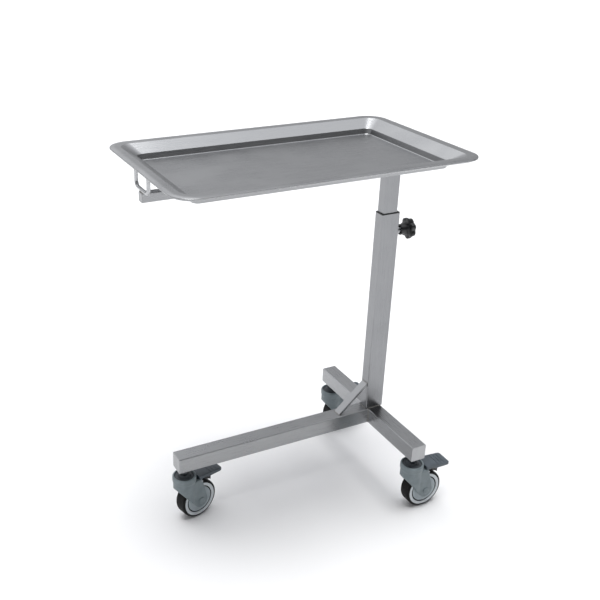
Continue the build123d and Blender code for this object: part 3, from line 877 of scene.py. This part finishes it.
def fork_mesh():
    """Moulded fork: cheeks that grow out of the collar, hollow inside for the wheel."""
    waist = COLLAR_R - 1.6
    plan = []
    for k in range(33):
        angle = math.radians(59 + 242 * k / 32)
        plan.append((waist * math.cos(angle), waist * math.sin(angle)))
    plan += [(80, -CHEEK_OUT), (80, CHEEK_OUT)]
    sides = slab(fork_side(), 1, -COLLAR_R, COLLAR_R)
    body = carved(sides, [("INTERSECT", slab(plan, 2, 0, COLLAR_TOP))])
    collar = soft_line([
        (ROOF_BOTTOM, 0, 0), (ROOF_BOTTOM, waist, 0), (ROOF_TOP + 2, waist, 0.5),
        (ROOF_TOP + 4, COLLAR_R, 0.8), (COLLAR_TOP, COLLAR_R, 3), (COLLAR_TOP, 0, 0),
    ], steps=5)
    axle_at = (TRAIL, 0, WHEEL_R)
    pin_at = (PEDAL_PIN_X, 0, PEDAL_PIN_Z)
    wheel_gap = [(30, -CHEEK_IN), (60, -CHEEK_IN), (60, CHEEK_IN), (30, CHEEK_IN)]
    slope = [(42, ROOF_TOP + 1), (42, ROOF_TOP), (82, ROOF_TOP - 18), (90, ROOF_TOP + 1)]
    return moulded(carved(body, [
        ("UNION", turned("collar", collar, 2, steps=96)),
        ("DIFFERENCE", cylinder(RECESS_R, 2, COLLAR_TOP - 7.3, COLLAR_TOP + 5)),
        ("DIFFERENCE", cylinder(BEARING_R, 2, ROOF_BOTTOM + 2, COLLAR_TOP)),
        ("DIFFERENCE", cylinder(7, 2, ROOF_BOTTOM - 20, COLLAR_TOP)),
        ("DIFFERENCE", cylinder(WHEEL_R + 4, 1, -CHEEK_IN, CHEEK_IN, axle_at, steps=96)),
        ("DIFFERENCE", slab(wheel_gap, 2, 98, ROOF_TOP)),
        ("DIFFERENCE", slab(slope, 1, -40, 40)),
        ("DIFFERENCE", cylinder(4.05, 1, -40, 40, axle_at, steps=32)),
        ("DIFFERENCE", cylinder(2.05, 1, -40, 40, pin_at, steps=24)),
    ]))


def pedal_mesh():
    """Foot pedal: a tapered plate with a turned-up heel, side skirts and two hinge lugs."""
    x0 = COLLAR_R + 1.5
    half = PEDAL_WIDTH / 2
    side = [(x0, PEDAL_BOTTOM), (54, PEDAL_BOTTOM), (58, PEDAL_BOTTOM - 3), (PEDAL_END, PEDAL_BOTTOM - 3),
            (PEDAL_END, PEDAL_TOP - 4), (52, PEDAL_TOP), (x0, PEDAL_TOP)]
    plan = soft_line([(x0, -half, 0), (PEDAL_END, -half, 6), (PEDAL_END, half, 6), (x0, half, 0)], True)
    plate = carved(slab(side, 1, -half, half), [("INTERSECT", slab(plan, 2, 90, 130))])
    lug = [(PEDAL_PIN_X - 4.5, PEDAL_PIN_Z - 4), (PEDAL_PIN_X + 4.5, PEDAL_PIN_Z - 4),
           (PEDAL_PIN_X + 4.5, PEDAL_BOTTOM + 2), (PEDAL_PIN_X - 4.5, PEDAL_BOTTOM + 2)]
    return moulded(carved(plate, [
        ("UNION", slab(lug, 1, -16.5, -10)),
        ("UNION", slab(lug, 1, 10, 16.5)),
    ]), rounds=5)


def top_of_pedal(x):
    """Height of the sloping top face at x."""
    return PEDAL_TOP - 4 * max(0, x - 52) / (PEDAL_END - 52)


def hex_nut(low, high, place):
    """Hexagon nut with its corners chamfered by a cone at both faces."""
    corners = [math.radians(60 * k) for k in range(6)]
    hexagon = [(NUT_R * math.cos(angle), NUT_R * math.sin(angle)) for angle in corners]
    rim = NUT_R * 0.87
    wide = NUT_R + 0.5
    cone = [(low, 0), (low, rim), (low + 1.2, wide), (high - 1.2, wide), (high, rim), (high, 0)]
    mesh = carved(slab(hexagon, 2, low, high), [("INTERSECT", turned("cone", cone, 2))])
    mesh.transform(place)
    return mesh


def wheel_profiles():
    """Half-sections of the wheel's turned parts, as (distance along the axle, radius)."""
    half = TREAD_HALF
    tread = soft_line([
        (-half, RIM_R, 0), (-half, WHEEL_R, 5), (-0.5, WHEEL_R, 0), (0, WHEEL_R, 0), (0.5, WHEEL_R, 0),
        (half, WHEEL_R, 5), (half, RIM_R, 0),
    ], closed=True, steps=6)
    rim = soft_line([
        (-half + 3, BEARING_R, 0), (-half + 3, GROOVE_R, 0), (-half, GROOVE_R, 0.8),
        (-half - 0.6, RIM_R - 3, 1.5), (-half, RIM_R, 0), (half, RIM_R, 0),
        (half + 0.6, RIM_R - 3, 1.5), (half, GROOVE_R, 0.8),
        (half - 3, GROOVE_R, 0), (half - 3, BEARING_R, 0),
    ], closed=True, steps=4)
    return tread, rim


def hub_profile():
    """Dished hub cover, one on each side of the wheel, with a raised ring about the bearing."""
    face = TREAD_HALF
    points = [
        (face - 3, BEARING_R, 0), (face - 3, HUB_R, 0), (face - 0.2, HUB_R, 1),
        (face - 0.6, HUB_R - 4, 1.5), (face - 2, HUB_R - 9, 4), (face - 2, BEARING_R + 7, 3),
        (face - 0.4, BEARING_R + 4, 1.5), (face, BEARING_R, 0.4),
    ]
    return soft_line(points, closed=True, steps=4)


def mirrored(name, profile, at_axle, steps):
    """The same turned part on both sides of the wheel."""
    sides = []
    for side in (-1, 1):
        sides.append(turned(name, [(side * a, r) for a, r in profile], 1, at_axle, steps))
    return joined(name, *sides)


def add_wheel(name, node, at_axle):
    tread, rim = wheel_profiles()
    body = f"{name}_wheel"
    piece(f"{name}_tread_moulded", turned("tread", tread, 1, at_axle, 96), RUBBER, body,
          [node + "tread"], sharp=60)
    piece(f"{name}_rim_moulded", turned("rim", rim, 1, at_axle, 96), RIM_PLASTIC, body,
          [node + "rim"], sharp=60)
    piece(f"{name}_hub_covers_moulded", mirrored("covers", hub_profile(), at_axle, 96), HUB_PLASTIC,
          body, [node + "hub_covers"], sharp=60)
    # Painted shade: a black rubber ring fills the groove between rim and hub cover on each side, so that
    # the groove reads dark.
    inner, outer = TREAD_HALF - 3, TREAD_HALF - 1.4
    seal = soft_line([
        (inner, HUB_R, 0), (inner, GROOVE_R, 0), (outer, GROOVE_R, 0.3), (outer, HUB_R, 0.3),
    ], closed=True, steps=2)
    piece(f"{name}_dust_seals", mirrored("seals", seal, at_axle, 96), RUBBER, body)


def add_caps(name, node, place, at_axle):
    """Axle caps on the cheeks, and the dark cap that closes the collar about the stem."""
    face, proud = CHEEK_OUT, CHEEK_OUT + AXLE_CAP_OUT
    dome = soft_line([
        (face - 0.5, 0, 0), (face - 0.5, AXLE_CAP_R, 0), (proud - 1.4, AXLE_CAP_R, 1.2),
        (proud, AXLE_CAP_R - 4, 4), (proud, 0, 0),
    ], steps=5)
    piece(f"{name}_axle_caps_moulded", mirrored("caps", dome, at_axle, 48), GREY_NYLON,
          f"{name}_fork", [node + "axle_caps"], sharp=60)
    bore, rim, base = STEM_R + 0.1, RECESS_R - 0.5, COLLAR_TOP - 7
    cap = soft_line([
        (base, bore, 0), (base, rim, 0), (base + 4.5, rim, 1.5), (base + 5.5, 15.5, 1),
        (COLLAR_TOP + 5, 13, 2), (COLLAR_TOP + 5, bore, 0.3),
    ], closed=True, steps=4)
    piece(f"{name}_swivel_cap_moulded", turned("swivel_cap", cap, 2, place, 72), CAP_NYLON, "base",
          [node + "swivel_cap"], sharp=60)


def add_stem(name, node, place):
    """Stem with its king pin head below, its lock nut, and the thread that shows between."""
    low, high = (corner.z for corner in box_mm(node + "stem"))
    shank = STEM_R - 0.4
    shaft = soft_line([
        (low, 0, 0), (low, 9, 1), (low + 2.7, 9, 0), (low + 2.7, shank, 0), (high, shank, 0.6),
        (high, 0, 0),
    ], steps=3)
    stem = turned("stem", shaft, 2, place, 40)
    stem.materials.append(ZINC)
    nut = hex_nut(CASTER_HEIGHT - 8, CASTER_HEIGHT, place)
    nut.materials.clear()
    nut.materials.append(ZINC)
    start, length = COLLAR_TOP + 5, high - COLLAR_TOP - 6
    at_thread = place @ Matrix.Translation((0, 0, start * MM))
    ridge = grown("stem_thread", THREAD, polyline([(0, 0, 0), (0, 0, 1)]), ZINC, at_thread,
                  thread_radius=shank, height=length, turns=length / STEM_PITCH, ridge_radius=0.4)
    piece(f"{name}_stem_and_nut", joined("stem", stem, nut, ridge), None, "base",
          [node + "stem"])


def add_pedal(name, node, place, pedal):
    plate = pedal.copy()
    plate.transform(place)
    plate.materials.clear()
    plate.materials.append(PEDAL_NYLON)
    ridges = []
    for x in (66, 76, 86):
        spot = dots([(x, 0, top_of_pedal(x) - 0.3)])
        ridges.append(grown("rib", RIBS, spot, PEDAL_NYLON, place, rib_length=PEDAL_WIDTH - 9,
                            rib_radius=1.5))
    piece(f"{name}_pedal_moulded", joined("pedal", plate, *ridges), None, f"{name}_pedal",
          [node + "brake_pedal"], sharp=60)


def add_caster(name, fork, pedal):
    """One caster, turned about its stem so that its wheel meets the axle's place in the frame."""
    swivel = Vector(joints[f"{name}_swivel"]["pos_m"])
    axle = Vector(joints[f"{name}_wheel_spin"]["pos_m"])
    turn = math.atan2(axle.y - swivel.y, axle.x - swivel.x)
    place = Matrix.Translation((swivel.x, swivel.y, 0)) @ Matrix.Rotation(turn, 4, "Z")
    at_axle = place @ Matrix.Translation((TRAIL * MM, 0, WHEEL_R * MM))
    node = f"{name}_caster_"
    housing = fork.copy()
    housing.transform(place)
    piece(f"{name}_fork_moulded", housing, GREY_NYLON, f"{name}_fork",
          [node + "fork"], sharp=180)
    add_wheel(name, node, at_axle)
    add_caps(name, node, place, at_axle)
    add_stem(name, node, place)
    add_pedal(name, node, place, pedal)


def add_casters():
    fork, pedal = fork_mesh(), pedal_mesh()
    for name in ("leg", "near", "far"):
        add_caster(name, fork, pedal)


# ---- nodes that keep their own mesh ---------------------------------------------------------
def finish_kept_nodes():
    """Hidden or plain parts keep their shape and get the material of what they are."""
    kept = {
        "stem_sockets": ZINC,
        "column_guide": BLACK_NYLON,
        "pressure_pad": BRASS,
        "arm_end_plates": STEEL[2],
    }
    for name in ("leg", "near", "far"):
        kept[f"{name}_caster_swivel_bearing"] = ZINC
        kept[f"{name}_caster_axle"] = ZINC
        kept[f"{name}_caster_wheel_bearings"] = ZINC
        kept[f"{name}_caster_pedal_pin"] = ZINC
        kept[f"{name}_caster_brake_shoe"] = BLACK_NYLON
    for node, material in kept.items():
        mesh = frame["nodes"][node].data
        mesh.materials.clear()
        mesh.materials.append(material)


# ---- studio ---------------------------------------------------------------------------------
def add_floor():
    side = 20000
    corners = [(-side, -side, 0), (side, -side, 0), (side, side, 0), (-side, side, 0)]
    mesh = new_mesh("floor", corners, [(0, 1, 2, 3)])
    mesh.materials.append(pale_floor_material())
    put("floor", mesh)


def sun_light(name, towards, spread_angle, strength):
    """Even light from a broad patch of ceiling in one direction."""
    light = bpy.data.lights.new(name, "SUN")
    light.angle = math.radians(spread_angle)
    light.energy = strength
    obj = put(name, light)
    obj.rotation_euler = Vector(towards).to_track_quat("Z", "Y").to_euler()


def soft_panel(tree, direction, azimuth, elevation, inner, outer, brightness):
    """Glow from one part of the studio: full inside the inner angle, gone at the outer one."""
    turn, rise = math.radians(azimuth), math.radians(elevation)
    middle = (math.sin(turn) * math.cos(rise), math.cos(turn) * math.cos(rise), math.sin(rise))
    near = add(tree, "ShaderNodeVectorMath", {0: direction, 1: middle}, operation="DOT_PRODUCT")
    links = {"Value": near.outputs["Value"], "From Min": math.cos(math.radians(outer)),
             "From Max": math.cos(math.radians(inner)), "To Min": 0.0, "To Max": brightness}
    return add(tree, "ShaderNodeMapRange", links, interpolation_type="SMOOTHSTEP").outputs[0]


def add_studio(panels, dark_side=0.16):
    """Grey studio: soft panels (azimuth from +Y towards +X, elevation, inner, outer, brightness)."""
    world = bpy.data.worlds.new("studio")
    bpy.context.scene.world = world
    world.use_nodes = True
    tree = world.node_tree
    direction = add(tree, "ShaderNodeTexCoord").outputs["Generated"]
    total = dark_side
    for panel in panels:
        glow = soft_panel(tree, direction, *panel)
        total = add(tree, "ShaderNodeMath", {0: glow, 1: total}, operation="ADD").outputs[0]
    background = tree.nodes["Background"]
    background.inputs["Color"].default_value = linear("#fbfcff")
    tree.links.new(total, background.inputs["Strength"])


def add_camera(azimuth=-26.64, elevation=25.41, roll=0.99, focal=862.6, at=(-0.8935, -1.5790, 1.4008)):
    """Camera in front of the cart, to its left and above; focal is in picture widths of 600."""
    turn, tilt, lean = (math.radians(a) for a in (azimuth, elevation, roll))
    back = Vector((math.sin(turn) * math.cos(tilt), -math.cos(turn) * math.cos(tilt), math.sin(tilt)))
    right = (-back).cross(Vector((0, 0, 1))).normalized()
    up = right.cross(-back)
    right, up = (math.cos(lean) * right + math.sin(lean) * up, math.cos(lean) * up - math.sin(lean) * right)
    data = bpy.data.cameras.new("camera")
    data.sensor_width = 36
    data.lens = focal / 600 * 36
    data.shift_x = 50 / 600
    camera = put("camera", data)
    camera.matrix_world = Matrix.Translation(at) @ Matrix((right, up, back)).transposed().to_4x4()
    bpy.context.scene.camera = camera


add_tray()
add_rods()
add_base_frame()
add_column_and_arm()
add_brace()
add_welds()
add_bush()
add_clamp()
add_casters()
finish_kept_nodes()
add_floor()
add_studio([
    (15, 5, 25, 85, 0.45),
    (-8, 50, 12, 34, 0.75),
    (-36, 30, 5, 22, 0.7),
    (95, 64, 12, 34, 1.3),
    (-95, 25, 10, 60, 0.3),
])
sun_light("overhead", (-0.03, -0.02, 1), 36, 2.3)
add_camera()
bpy.context.scene.view_settings.view_transform = "Standard"
